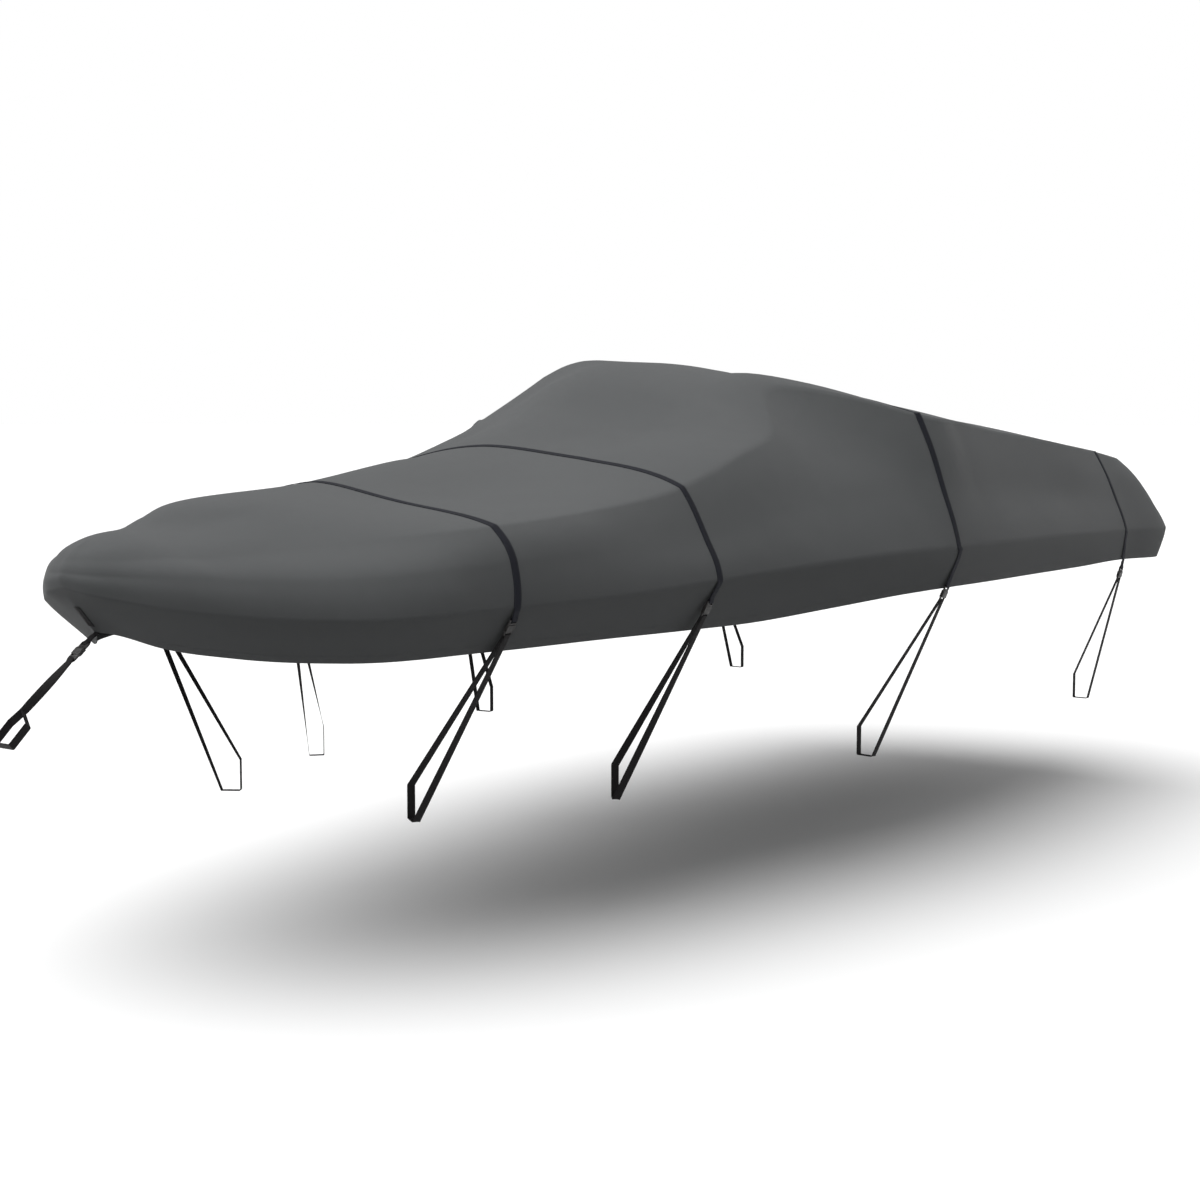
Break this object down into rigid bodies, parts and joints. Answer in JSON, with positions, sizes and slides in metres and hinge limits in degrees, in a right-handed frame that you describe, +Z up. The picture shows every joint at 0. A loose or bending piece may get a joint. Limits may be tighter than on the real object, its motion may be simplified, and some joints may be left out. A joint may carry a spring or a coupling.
{
  "type": "boat cover",
  "caption": "Fitted cover for a trailered runabout, hollow inside, with webbing sewn across it that ends in side-release buckles and in loops for the frame rails below.",
  "frame": {"origin": "the mount under the top of the cover, on the centreline just aft of the windscreen, against the underside of the cloth", "axes": "+X aft from the bow, +Y to starboard, +Z up"},
  "size_m": [5.762, 2.4156, 1.4458],
  "materials": {
    "cloth": "matt woven polyester, mid grey",
    "webbing": "black woven webbing",
    "buckle": "black moulded plastic, low sheen"
  },
  "bodies": {
    "root": {"cover": "cloth", "webbing1": "webbing", "webbing2": "webbing", "webbing3": "webbing", "webbing4": "webbing", "buckle1_port_insert": "buckle", "buckle1_port_housing": "buckle", "rail_loop1_port": "webbing", "buckle1_starboard_insert": "buckle", "buckle1_starboard_housing": "buckle", "rail_loop1_starboard": "webbing", "buckle2_port_insert": "buckle", "buckle2_port_housing": "buckle", "rail_loop2_port": "webbing", "buckle2_starboard_insert": "buckle", "buckle2_starboard_housing": "buckle", "rail_loop2_starboard": "webbing", "buckle3_port_insert": "buckle", "buckle3_port_housing": "buckle", "rail_loop3_port": "webbing", "buckle3_starboard_insert": "buckle", "buckle3_starboard_housing": "buckle", "rail_loop3_starboard": "webbing", "buckle4_port_insert": "buckle", "buckle4_port_housing": "buckle", "rail_loop4_port": "webbing", "buckle4_starboard_insert": "buckle", "buckle4_starboard_housing": "buckle", "rail_loop4_starboard": "webbing", "bow_patch": "webbing", "bow_tab": "webbing", "bow_buckle_insert": "buckle", "bow_buckle_housing": "buckle", "bow_loop": "webbing"}
  },
  "joints": []
}
